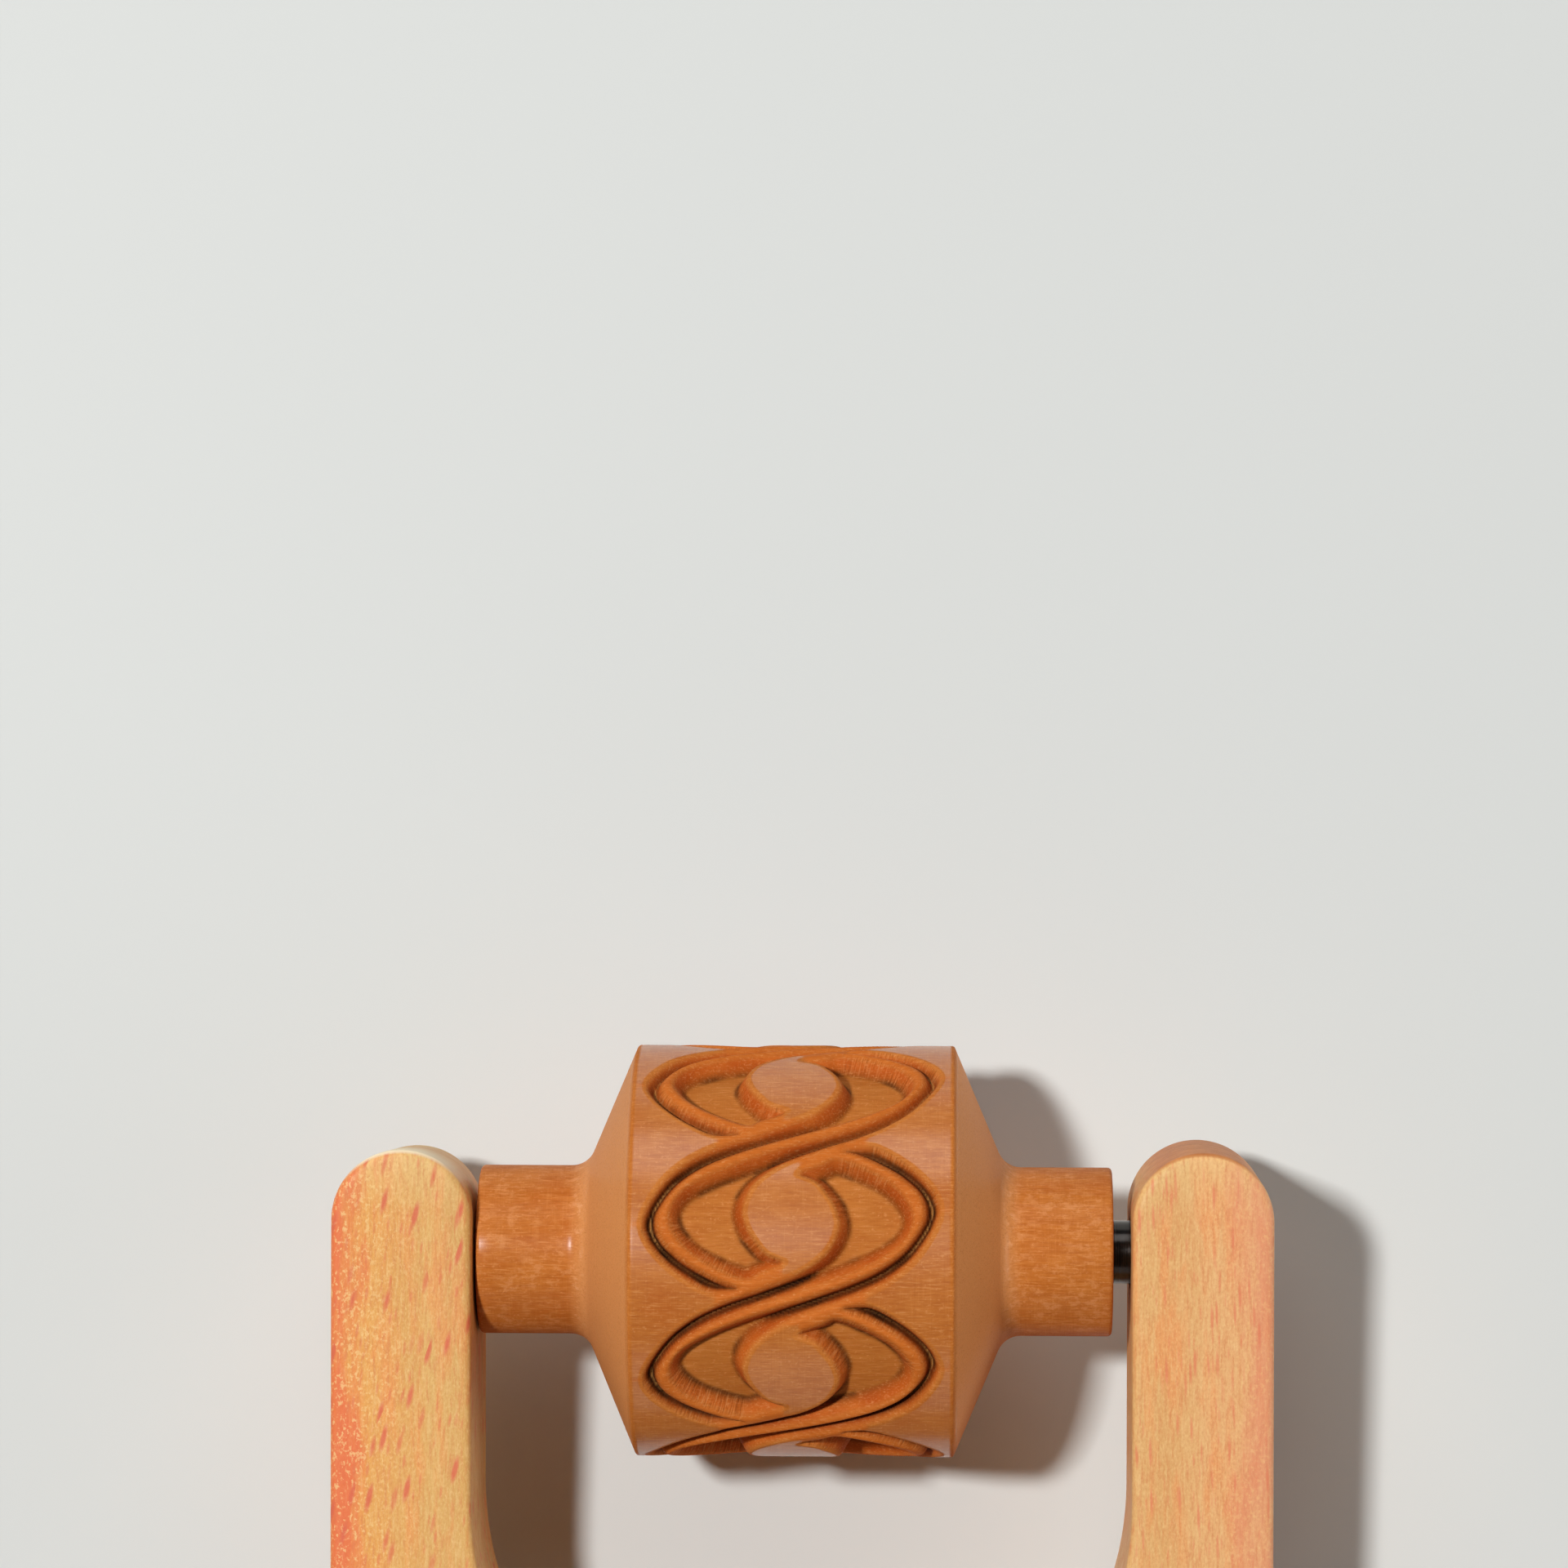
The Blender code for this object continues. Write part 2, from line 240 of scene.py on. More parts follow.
def depth_inside(points, outline):
    """For each point, its distance to the outline, positive inside, and the run of its nearest place.

    The nearest place on a side is the point's foot on it, held between the side's ends. A point is inside
    where a ray from it crosses the outline an odd number of times."""
    start = outline
    side = np.roll(outline, -1, axis=0) - start
    length = np.hypot(*side.T)
    run = np.concatenate([[0], np.cumsum(length)[:-1]])
    away = points[:, None, :] - start[None]
    share = np.clip((away * side).sum(2) / length**2, 0, 1)
    gap = np.linalg.norm(away - share[..., None] * side, axis=2)
    nearest = gap.argmin(1)
    rows = np.arange(len(points))
    below = start[None, :, 1] > points[:, None, 1]
    crosses = below != np.roll(below, -1, axis=1)
    with np.errstate(divide="ignore", invalid="ignore"):
        reach = start[:, 0] + (points[:, None, 1] - start[:, 1]) / side[:, 1] * side[:, 0]
    inside = (crosses & (points[:, None, 0] < reach)).sum(1) % 2 == 1
    place = run[nearest] + share[rows, nearest] * length[nearest]
    return np.where(inside, 1, -1) * gap[rows, nearest], place


def carving(along, columns):
    """Distance inside the carved strokes and the run along their edges, for one repeat of the pattern.

    Strokes of the repeats before and after reach into this one, so theirs are laid out too."""
    around = np.arange(columns) * (REPEAT / columns)
    grid = np.stack(np.meshgrid(along, around, indexing="xy"), axis=-1).reshape(-1, 2)
    inside = np.full(len(grid), -np.inf)
    run = np.zeros(len(grid))
    for side in (1, -1):
        outline = stroke_outline(side)
        for repeat in range(-2, 4):
            depth, place = depth_inside(grid, outline + (0, repeat * REPEAT))
            closer = depth > inside
            inside = np.where(closer, depth, inside)
            run = np.where(closer, place, run)
    shape = (columns, len(along))
    return inside.reshape(shape), run.reshape(shape)


def relief(inside, slope, floor, edge):
    """Depth of cut: a wall of even slope from a softened edge down to a floor that it meets in a curve.

    Within edge of the outline the depth is slope * (inside + edge)^2 / (4 * edge), beyond it slope times
    inside, and the soft minimum of that and the floor keeps the pocket flat."""
    eased = (inside + edge) ** 2 / (4 * edge)
    wall = slope * np.where(inside > edge, inside, np.where(inside > -edge, eased, 0))
    mix = ramp(floor - wall, -POCKET_BLEND, POCKET_BLEND)
    return floor + (wall - floor) * mix - POCKET_BLEND * mix * (1 - mix)


def ramp(values, start, end):
    """Values as an even rise from 0 at the start to 1 at the end, held beyond them."""
    return np.clip((values - start) / (end - start), 0, 1)


def shifted_round(field, reach):
    """One repeat moved round the drum by every number of steps up to reach. It closes on itself."""
    return [np.roll(field, step, 0) for step in range(-reach, reach + 1)]


def shifted_along(field, reach):
    """One repeat moved along the drum in the same way. Its end values are held."""
    padded = np.pad(field, ((0, 0), (reach, reach)), mode="edge")
    return [padded[:, start:start + field.shape[1]] for start in range(2 * reach + 1)]


def spread_largest(field, reach):
    """At each place of one repeat, the largest value within reach steps round and along the drum."""
    return np.maximum.reduce(shifted_along(np.maximum.reduce(shifted_round(field, reach)), reach))


def blurred(field, reach):
    """The mean of one repeat over a square of reach steps each way."""
    return np.mean(shifted_along(np.mean(shifted_round(field, reach), axis=0), reach), axis=0)


def groove_bed(inside):
    """From 1 on the bed of a narrow groove down to 0 beside it, and the distance from its middle in mm.

    The bed is where the distance inside the stroke is as large as the largest one within reach, which in
    a narrow groove is half its width. In the wide pockets the distance from the middle is raised by 1."""
    widest = spread_largest(inside, SEARCH_STEPS)
    narrow = ramp(widest, GROOVE_WIDEST, GROOVE_SURE) * ramp(widest, 0, GROOVE_FINEST)
    gap = widest - inside
    return ramp(gap, BED_EDGE, BED_CORE) * narrow, gap / MM + 1 - narrow


def narrow_rib(inside):
    """1 on a rib whose middle lies near a cut on both of its sides, 0 on the wide faces and in the cuts."""
    widest = spread_largest(-inside, SEARCH_STEPS)
    return ramp(widest, RIB_WIDEST, RIB_SURE) * ramp(inside, RIB_EDGE, 0)


def carved_fields(along, settings):
    """Depth of cut over one repeat, and the numbers that its material reads from the points.

    cut_wall is the share of the full wall slope. wall_foot and edge_wear are bell curves of the distance
    inside the stroke. cross_cut is 3 times the two rises' product where they lean opposite ways, and
    groove_upright compares their blurred squares, to tell grooves that run round the drum."""
    columns = settings.columns
    inside, run = carving(along, columns)
    rib = narrow_rib(inside)
    edge = settings.edge * (1 + RIB_SOFTENING * ramp(blurred(rib, 3), 0, HALF))
    depth = relief(inside, settings.slope, settings.depth, edge)

    def rises(field):
        """Rise of a field round the drum and along it."""
        step = REPEAT / columns
        round_drum = (np.roll(field, -1, 0) - np.roll(field, 1, 0)) / (2 * step)
        return round_drum, np.gradient(field, along[1] - along[0], axis=1)

    rise_round, rise_along = rises(inside)
    sideways, onwards = blurred(rise_along**2, 2), blurred(rise_round**2, 2)
    bed, middle = groove_bed(inside)
    fields = {
        "cut_depth": depth / settings.depth,
        "groove_bed": bed,
        "cut_wall": np.clip(np.hypot(*rises(depth)) / settings.slope, 0, 1),
        "edge_run": run / MM,
        "wall_foot": np.exp(-(((inside - WALL_FOOT) / FOOT_WIDTH) ** 2)),
        "cross_cut": np.clip(-3 * rise_round * rise_along, 0, 1),
        # Bell curve at the strokes' edges: where the coat wears off, and where the carved wood is painted
        # paler, partly as a painted highlight.
        "edge_wear": np.exp(-((inside / EDGE_WEAR_AND_HIGHLIGHT_WIDTH) ** 2)),
        "narrow_rib": rib,
        "groove_middle": middle,
        "groove_upright": np.clip(2 * (sideways - onwards) / (sideways + onwards + 0.1), 0, 1),
    }
    return depth, fields


def set_mesh(name, points, faces):
    """A mesh object from arrays of points and of faces, smooth but for its sharp edges."""
    mesh = bpy.data.meshes.new(name)
    mesh.from_pydata(points, [], faces)
    mesh.validate()
    mesh.shade_smooth()
    made = bpy.data.objects.new(name, mesh)
    bpy.context.collection.objects.link(made)
    return made


def add_attribute(piece, name, values):
    """Stores one number for each point of the piece."""
    attribute = piece.data.attributes.new(name, "FLOAT", "POINT")
    attribute.data.foreach_set("value", np.asarray(values, np.float32))


def ring_faces(rows, columns, first=0):
    """Quads of a grid of rings: rows go round and close, columns run along and stay open."""
    row = np.arange(rows)[:, None]
    column = np.arange(columns - 1)[None]
    here = first + row * columns + column
    following = first + (row + 1) % rows * columns + column
    return np.stack([here, here + 1, following + 1, following], axis=-1).reshape(-1, 4)


def reduced_ring(fine, coarse):
    """Faces between a fine ring and a coarse one: each coarse side meets its whole number of fine sides."""
    ratio = len(fine) // len(coarse)
    rows = np.arange(len(coarse))[:, None] * ratio + np.arange(ratio + 1)
    return np.column_stack([coarse, np.append(fine, fine[0])[rows], np.roll(coarse, -1)])


def even_angles(sides, phase=0.0):
    """Angles of a ring of even sides."""
    return phase + np.arange(sides) * (math.tau / sides)


def turned_points(along, radius, angles, x=0.0):
    """Points of a turned profile: at each angle, (x + along, -radius sin, radius cos) about the pin."""
    angle = np.asarray(angles)[:, None]
    points = np.stack(
        np.broadcast_arrays(x + along, -radius * np.sin(angle), radius * np.cos(angle)), axis=-1
    )
    return (points + (0, AXIS[1], AXIS[2])).reshape(-1, 3)


def turned_rod(profile):
    """Points and faces of a profile of (along, radius) turned about the pin, open at both ends, and the
    points of its first and last ring."""
    points = turned_points(profile[None, :, 0], profile[None, :, 1], even_angles(ROD_SIDES))
    first = np.arange(ROD_SIDES) * len(profile)
    return points, ring_faces(ROD_SIDES, len(profile)).tolist(), first, first + len(profile) - 1


def arc(centre, radius, start, end, steps):
    """Points of a circular arc from one angle to the other."""
    angle = np.linspace(start, end, steps + 1)
    return np.stack([centre[0] + radius * np.cos(angle), centre[1] + radius * np.sin(angle)], axis=1)


def rounded_outline(corners, step):
    """A closed outline through corners (x, y, radius): each corner is an arc tangent to both its sides."""
    outline = []
    spots = np.array([corner[:2] for corner in corners])
    for index, (x, y, radius) in enumerate(corners):
        here = spots[index]
        before = spots[index - 1] - here
        after = spots[(index + 1) % len(corners)] - here
        before = before / np.hypot(*before)
        after = after / np.hypot(*after)
        half_angle = math.acos(before @ after) * HALF
        middle = before + after
        centre = here + middle / np.hypot(*middle) * radius / math.sin(half_angle)
        setback = radius / math.tan(half_angle)
        first = here + before * setback - centre
        last = here + after * setback - centre
        start = math.atan2(first[1], first[0])
        sweep = math.remainder(math.atan2(last[1], last[0]) - start, math.tau)
        outline.append(arc(centre, radius, start, start + sweep, max(2, round(abs(sweep) / step))))
    outline = np.vstack(outline)
    gap = np.linalg.norm(outline - np.roll(outline, 1, axis=0), axis=1)
    return outline[gap > SHORTEST_SIDE]


def divided(outline, longest):
    """The same closed outline with every side cut into equal lengths of at most the longest."""
    following = np.roll(outline, -1, axis=0)
    counts = np.ceil(np.linalg.norm(following - outline, axis=1) / longest).astype(int)
    parts = [
        start + (end - start) * (np.arange(count) / count)[:, None]
        for start, end, count in zip(outline, following, counts)
    ]
    return np.vstack(parts)


def finish_piece(piece, node, body, material, sharp):
    """Marks the piece's sharp edges, gives it its material, hides the node's imported part and ties the
    piece to its body.
    """
    piece.data.set_sharp_from_angle(angle=math.radians(sharp))
    piece.data.materials.append(material)
    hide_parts(node)
    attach(piece, body)


def colour(red, green, blue):
    """A colour given as it shows on a screen, from 0 to 255, made linear for the shader."""
    share = np.array([red, green, blue]) / 255
    linear = np.where(share <= 0.04045, share / 12.92, ((share + 0.055) / 1.055) ** 2.4)
    return (*linear.tolist(), 1.0)


class Nodes:
    """Adds shader nodes to one material, each from its kind, its settings and what its sockets take."""

    def __init__(self, name, tilt=0.0):
        self.material = bpy.data.materials.new(name)
        self.material.use_nodes = True
        self.tree = self.material.node_tree
        self.shader = self.tree.nodes["Principled BSDF"]
        self.tilt = tilt
        self.count = 0

    def add(self, kind, sockets=(), **settings):
        """A node whose sockets hold a value, or are linked where an output is given."""
        made = self.tree.nodes.new("ShaderNode" + kind)
        self.count += 1
        made.location = (-180 * (self.count % 12) - 300, -220 * (self.count // 12))
        for key, value in settings.items():
            setattr(made, key, value)
        for key, value in dict(sockets).items():
            self.join(value, made.inputs[key])
        return made

    def join(self, value, socket):
        """Links an output to a socket, or sets the socket's own value."""
        if isinstance(value, bpy.types.NodeSocket):
            self.tree.links.new(value, socket)
        else:
            socket.default_value = value

    def surface(self, **sockets):
        """Gives the surface shader its values, each under its socket's name with underscores."""
        for name, value in sockets.items():
            self.join(value, self.shader.inputs[name.replace("_", " ")])

    def math(self, operation, first, second=0.0, clamp=False):
        """One operation on two numbers."""
        return self.add("Math", {0: first, 1: second}, operation=operation, use_clamp=clamp).outputs[0]

    def times(self, first, *others):
        """The product of several numbers."""
        for other in others:
            first = self.math("MULTIPLY", first, other)
        return first

    def largest(self, first, *others):
        """The largest of several numbers."""
        for other in others:
            first = self.math("MAXIMUM", first, other)
        return first

    def distance(self, value, place):
        """How far a number is from a place, either way."""
        return self.math("ABSOLUTE", self.math("SUBTRACT", value, place))

    def mix(self, share, first, second):
        """A colour between two colours."""
        made = self.add("Mix", data_type="RGBA")
        self.join(share, made.inputs["Factor"])
        self.join(first, made.inputs[6])
        self.join(second, made.inputs[7])
        return made.outputs[2]

    def between(self, value, limits, first, second):
        """A colour between two given ones, as the value goes from one limit to the other."""
        return self.mix(self.band(value, *limits), colour(*first), colour(*second))

    def tint(self, shade, value, limits, strength, tone):
        """The shade mixed with a tone, up to a strength, as the value goes from one limit to the other."""
        return self.mix(self.band(value, *limits, 0.0, strength), shade, colour(*tone))

    def band(self, value, low, high, start=0.0, end=1.0):
        """Stretches low to high onto start to end, held inside them."""
        sockets = {"Value": value, "From Min": low, "From Max": high, "To Min": start, "To Max": end}
        return self.add("MapRange", sockets).outputs[0]

    def place(self, stretch, lean=0.0):
        """Object coordinates about the pin, turned with the board, then stretched along each axis."""
        coordinates = self.add("TexCoord").outputs["Object"]
        sockets = {"Vector": coordinates, "Location": tuple(AXIS), "Rotation": (self.tilt, 0, lean)}
        settled = self.add("Mapping", sockets, vector_type="TEXTURE").outputs[0]
        return self.add("Mapping", {"Vector": settled, "Scale": stretch}).outputs[0]

    def noise(self, place, detail, roughness, distortion=0.0):
        """Soft noise from 0 to 1, at a place or with a stretch along each axis."""
        if isinstance(place, tuple):
            place = self.place(place)
        sockets = {"Vector": place, "Scale": 1.0, "Detail": detail, "Roughness": roughness}
        return self.add("TexNoise", {**sockets, "Distortion": distortion}).outputs[0]

    def parts(self, coordinates):
        """The x, y and z of the object's own coordinates or normals."""
        return self.add("SeparateXYZ", {"Vector": self.add("TexCoord").outputs[coordinates]}).outputs

    def attribute(self, name):
        """A number stored on the piece's points."""
        return self.add("Attribute", attribute_name=name).outputs["Fac"]

    def bump(self, height, distance, strength=1.0, normal=None):
        """Tilts the surface by a height map."""
        made = self.add("Bump", {"Height": height, "Distance": distance, "Strength": strength})
        if normal:
            self.join(normal, made.inputs["Normal"])
        return made.outputs[0]


class CarvedWood(Nodes):
    """Oiled orange wood: streaks along the roller, turning rings, scorched groove beds and tool marks."""

    def __init__(self):
        super().__init__("carved_wood")
        self.cut = self.attribute("cut_depth")
        self.wall = self.attribute("cut_wall")
        self.foot = self.attribute("wall_foot")
        self.wear_and_highlight = self.attribute("edge_wear")
        self.rib = self.attribute("narrow_rib")
        self.streaks = self.noise((240, 2600, 2600), 4.0, 0.62)
        self.fibres = self.noise((700, 6500, 6500), 3.0, 0.6)
        self.patches = self.noise((170, 240, 240), 4.0, 0.6)
        self.rings = self.noise((6200, 240, 240), 2.0, 0.6)
        self.slow = self.noise((260, 260, 260), 2.0, 0.5)
        side, self.ahead, _ = self.parts("Object")
        self.across = self.distance(side, ROLLER_X)
        self.ends = self.band(self.across, DRUM_HALF, DRUM_HALF + END_BLEND)
        lengthwise = self.times(self.attribute("edge_run"), CHATTER_PER_MM)
        downwards = self.times(self.cut, CHATTER_DOWN)
        marks = self.add("CombineXYZ", {"X": lengthwise, "Y": downwards}).outputs[0]
        self.chatter = self.noise(marks, 3.0, 0.6)
        crossing = self.band(self.attribute("cross_cut"), 0.25, 0.9)
        uneven = self.band(self.slow, 0.35, 0.55, 0.25, 1.0)
        self.torn = self.times(crossing, self.band(self.wall, 0.15, 0.6), uneven)
        shade = self.mix(self.band(self.cut, 0.03, 0.3), self.face(), self.inside())
        self.surface(Base_Color=self.scorched_and_shaded(self.marked(shade)), Specular_IOR_Level=0.1)
        self.surface(Roughness=self.band(self.streaks, 0.25, 0.75, 0.62, 0.78), Normal=self.tooled())
        self.coat()

    def face(self):
        """The uncut wood: streaks, patches and rings, cones painted paler as painted light, spotted hubs and
        redder narrow ribs, and paler edges that are partly worn wood and partly a painted highlight.
        """
        shade = self.between(self.streaks, (0.32, 0.68), (182, 101, 36), (196, 115, 46))
        shade = self.tint(shade, self.patches, (0.5, 0.68), 0.5, (204, 124, 54))
        shade = self.tint(shade, self.patches, (0.48, 0.3), 0.5, (182, 92, 26))
        shade = self.tint(shade, self.fibres, (0.54, 0.72), 0.4, (210, 136, 68))
        shade = self.tint(shade, self.rings, (0.58, 0.72), 0.22, (166, 84, 24))
        shade = self.tint(shade, self.rings, (0.42, 0.3), 0.2, (214, 138, 70))
        # Edges painted paler: partly worn wood, partly a painted highlight on their rounding.
        shade = self.mix(self.times(self.wear_and_highlight, 0.18), shade, colour(212, 132, 64))
        # Painted light: the cones painted paler, partly the turned slopes' own tone, mostly standing in for
        # the side light that falls on them.
        cone = self.times(self.ends, self.band(self.across, CONE_END, CONE_END + CONE_BLEND, 0.85, 0.0))
        shade = self.mix(cone, shade, colour(218, 146, 86))
        mottle = self.noise((900, 1300, 1300), 4.0, 0.7)
        spots = self.times(
            self.ends, self.band(mottle, 0.5, 0.62, 0.0, 0.6), self.band(self.patches, 0.42, 0.56, 0.3, 1.0)
        )
        shade = self.mix(spots, shade, colour(214, 142, 84))
        near = self.distance(self.across, CONE_END + WORN_PLACE)
        worn = self.times(self.band(near, WORN_EDGE, WORN_CORE), self.band(mottle, 0.52, 0.64, 0.0, 0.6))
        shade = self.mix(worn, shade, colour(228, 164, 112))
        crest = self.between(self.streaks, (0.3, 0.7), (194, 97, 28), (205, 110, 40))
        return self.mix(self.times(self.rib, 0.85), shade, crest)

    def inside(self):
        """The cut wood: straw pocket floors, redder walls that darken downwards as painted shade, and their
        brown foot, partly scorch and partly painted shade in the crease.
        """
        floor = self.between(self.streaks, (0.3, 0.7), (180, 102, 37), (193, 117, 50))
        floor = self.tint(floor, self.patches, (0.46, 0.66), 0.4, (196, 122, 54))
        side = self.between(self.slow, (0.35, 0.65), (184, 84, 24), (200, 104, 36))
        shade = self.mix(self.band(self.wall, 0.12, 0.6), floor, side)
        # Painted shade: walls darker towards the pocket floor.
        low = self.times(self.band(self.wall, 0.3, 0.9), self.band(self.cut, 0.35, 0.95, 0.0, 0.6))
        shade = self.mix(low, shade, colour(152, 70, 18))
        # Brown foot along the crease where wall meets floor: partly scorch, partly painted shade.
        return self.mix(self.times(self.foot, 0.6), shade, colour(118, 72, 22))

    def marked(self, shade):
        """Fine fibres and specks over everything, and light and dark tears on walls across the grain."""
        shade = self.tint(shade, self.fibres, (0.54, 0.7), 0.4, (220, 146, 86))
        shade = self.tint(shade, self.fibres, (0.46, 0.3), 0.35, (160, 76, 20))
        specks = self.noise((2600, 3200, 3200), 2.0, 0.55)
        shade = self.tint(shade, specks, (0.6, 0.74), 0.4, (224, 152, 90))
        light = self.times(self.torn, self.band(self.chatter, 0.5, 0.66, 0.0, 0.5))
        shade = self.mix(light, shade, colour(214, 142, 82))
        dark = self.times(self.torn, self.band(self.chatter, 0.5, 0.36, 0.0, 0.45))
        return self.mix(dark, shade, colour(120, 60, 18))

    def scorched_and_shaded(self, shade):
        """Burnt groove beds and wall feet, darkened further as painted shade in these creases and painted
        less dark at the drum's front as painted light, with a pale line in the middle of a groove that
        clears where it runs round the drum: unburnt wood, partly a painted highlight."""
        burn_and_shade = self.times(
            self.band(self.slow, 0.35, 0.6, 0.78, 1.0),
            self.band(self.chatter, 0.25, 0.55, 0.85, 1.0),
            # Painted light: beds painted less dark on the drum's front, where the light falls.
            self.band(self.ahead, AXIS[1] + LIT_BED_FROM, AXIS[1] + LIT_BED_TO, 1.0, 0.45),
        )
        beds = self.times(self.attribute("groove_bed"), burn_and_shade)
        feet = self.times(self.foot, self.band(self.slow, 0.46, 0.6, 0.0, 0.6))
        low = self.band(self.cut, 0.1, 0.4)
        # Scorch, deepened as painted shade in the beds and feet.
        shade = self.mix(self.times(self.largest(beds, feet), low), shade, colour(34, 9, 2))
        # Pale line in the bed where a groove runs round the drum: unburnt wood, partly a painted highlight.
        middle = self.band(self.attribute("groove_middle"), 0.18, 0.04)
        upright = self.band(self.attribute("groove_upright"), 0.0, 1.0, 0.12, 0.8)
        return self.mix(self.times(middle, low, upright), shade, colour(192, 136, 74))

    def tooled(self):
        """Grain and turning rings over everything, and chatter on the walls."""
        depth = self.math("ADD", self.band(self.wall, 0.1, 0.6, 0.0, 0.2), self.torn)
        turned = self.bump(self.rings, 0.06 * MM, 0.4, self.bump(self.fibres, 0.08 * MM, 0.5))
        return self.bump(self.times(self.chatter, depth), 0.2 * MM, 0.5, turned)

    def coat(self):
        """A clear coat on the uncut faces, worn off edges, ribs and rims, and thin on cones and hubs."""
        bare = self.largest(
            self.band(self.cut, 0.0, 0.04),
            self.rib,
            self.band(self.wear_and_highlight, 0.02, 0.12),
            self.band(self.distance(self.across, DRUM_HALF), RIM_EDGE, RIM_CORE),
            self.times(self.ends, 0.86),
        )
        weight = self.times(self.math("SUBTRACT", 1.0, bare, clamp=True), 0.8)
        self.surface(Coat_Weight=weight, Coat_Roughness=0.24, Coat_IOR=1.8)
        self.surface(Coat_Normal=self.bump(self.streaks, 0.02 * MM, 0.4))


class Beech(Nodes):
    """Oiled beech: straw and peach in fine pores, reddish flecks, redder outer edges and end grain."""

    def __init__(self):
        super().__init__("beech", TILT)
        self.grain = self.noise((3600, 420, 1600), 4.0, 0.65)
        self.pores = self.noise((5200, 2600, 4200), 3.0, 0.65)
        self.warmth = self.noise((480, 70, 200), 4.0, 0.6)
        side, self.ahead, self.height = self.parts("Object")
        _, self.facing_ahead, self.facing_up = self.parts("Normal")
        self.right = self.band(side, -SIDE_BLEND, SIDE_BLEND)
        wander = self.times(self.math("SUBTRACT", self.warmth, HALF), WANDER)
        self.reach = self.math("ADD", self.math("ABSOLUTE", side), wander)
        self.amber = self.band(self.reach, ARM_OUTSIDE - AMBER_FROM, ARM_OUTSIDE - AMBER_TO, 0.0, 0.8)
        shade = self.outer_edges(self.board())
        shade = self.flecked(shade, LEFT_FLECKS, self.math("SUBTRACT", 1.0, self.right))
        shade = self.flecked(shade, RIGHT_FLECKS, self.right)
        grained = self.bump(self.grain, 0.06 * MM, 0.5, self.bump(self.pores, 0.06 * MM, 0.6))
        self.surface(Base_Color=self.end_grained(shade), Specular_IOR_Level=0.22, Normal=grained)
        self.surface(Roughness=self.band(self.grain, 0.2, 0.8, 0.42, 0.58))

    def board(self):
        """Straw on the left and peach on the right, amber outwards, paler at the tips, with fine pores."""
        figure = self.noise((220, 16, 90), 3.0, 0.55, 0.6)
        straw = self.between(figure, (0.3, 0.7), (210, 157, 88), (226, 178, 104))
        peach = self.between(figure, (0.3, 0.7), (222, 166, 102), (232, 184, 120))
        outer = self.mix(self.right, colour(240, 164, 78), colour(234, 168, 114))
        shade = self.mix(self.amber, self.mix(self.right, straw, peach), outer)
        shade = self.tint(shade, self.warmth, (0.48, 0.62), 0.55, (238, 150, 86))
        tip = (AXIS[1] + ARM_TIP_REACH * 0.35, AXIS[1] + ARM_TIP_REACH * 0.85)
        shade = self.tint(shade, self.ahead, tip, 0.45, (240, 208, 142))
        shade = self.tint(shade, self.grain, (0.5, 0.68), 0.6, (216, 134, 82))
        shade = self.tint(shade, self.grain, (0.48, 0.34), 0.35, (242, 200, 138))
        shade = self.tint(shade, self.pores, (0.52, 0.7), 0.4, (206, 138, 80))
        return self.tint(shade, self.pores, (0.48, 0.32), 0.4, (242, 204, 140))

    def outer_edges(self, shade):
        """A red edge outside on both arms, strongest on level faces, and small pale painted highlights in
        the amber wood.
        """
        edge = self.times(
            self.band(self.reach, ARM_OUTSIDE - RED_FROM, ARM_OUTSIDE - RED_TO),
            self.band(self.math("ABSOLUTE", self.facing_up), 0.1, 0.6, 0.2, 1.0),
            self.band(self.right, 0.0, 1.0, 0.75, 0.5),
        )
        red = self.mix(self.right, colour(232, 104, 66), colour(226, 140, 110))
        shade = self.mix(edge, shade, red)
        # Painted highlights: small pale glinting specks in the amber wood.
        painted_glints = self.band(self.noise((3200, 2400, 2800), 2.0, 0.6), 0.54, 0.66, 0.0, 0.75)
        glint_highlight = self.times(painted_glints, self.amber, self.band(self.right, 0.0, 1.0, 1.0, 0.4))
        return self.mix(glint_highlight, shade, colour(250, 212, 144))

    def flecked(self, shade, flecks, arm):
        """Short flecks along the grain of one arm: a lens in some cells of a stretched cell pattern."""
        for stretch, lean, strength, chances, tone in flecks:
            place = self.place(stretch, lean)
            cells = self.add("TexVoronoi", {"Vector": place, "Scale": 1.0}, feature="F1")
            chance = self.add("SeparateColor", {"Color": cells.outputs["Color"]}).outputs[0]
            lens = self.band(cells.outputs["Distance"], 0.46, 0.2)
            fleck = self.times(lens, self.band(chance, *chances, 0.0, strength), arm)
            shade = self.mix(fleck, shade, colour(*tone))
        return shade

    def end_grained(self, shade):
        """Brown end grain on faces across the board, and a cream one on the left arm's tip, painted pale as
        a highlight and paler still above.
        """
        rays = self.noise((260, 900, 900), 4.0, 0.6)
        brown = self.between(rays, (0.35, 0.65), (190, 110, 54), (214, 136, 74))
        cream = self.between(rays, (0.35, 0.65), (226, 176, 116), (240, 200, 142))
        # Painted highlight: the left tip's end paler towards its top.
        cream = self.tint(cream, self.height, (LEFT_TIP_HIGHLIGHT_FROM, LEFT_TIP_HIGHLIGHT_TO), 1.0, (255, 238, 202))
        across = self.math("ABSOLUTE", self.facing_ahead)
        shade = self.mix(self.band(across, 0.45, 0.85, 0.0, 0.5), shade, brown)
        tip = self.times(
            self.band(self.facing_ahead, 0.45, 0.8, 0.0, 0.9), self.band(self.ahead, AXIS[1], AXIS[1] + MM)
        )
        return self.mix(tip, shade, self.mix(self.right, cream, brown))


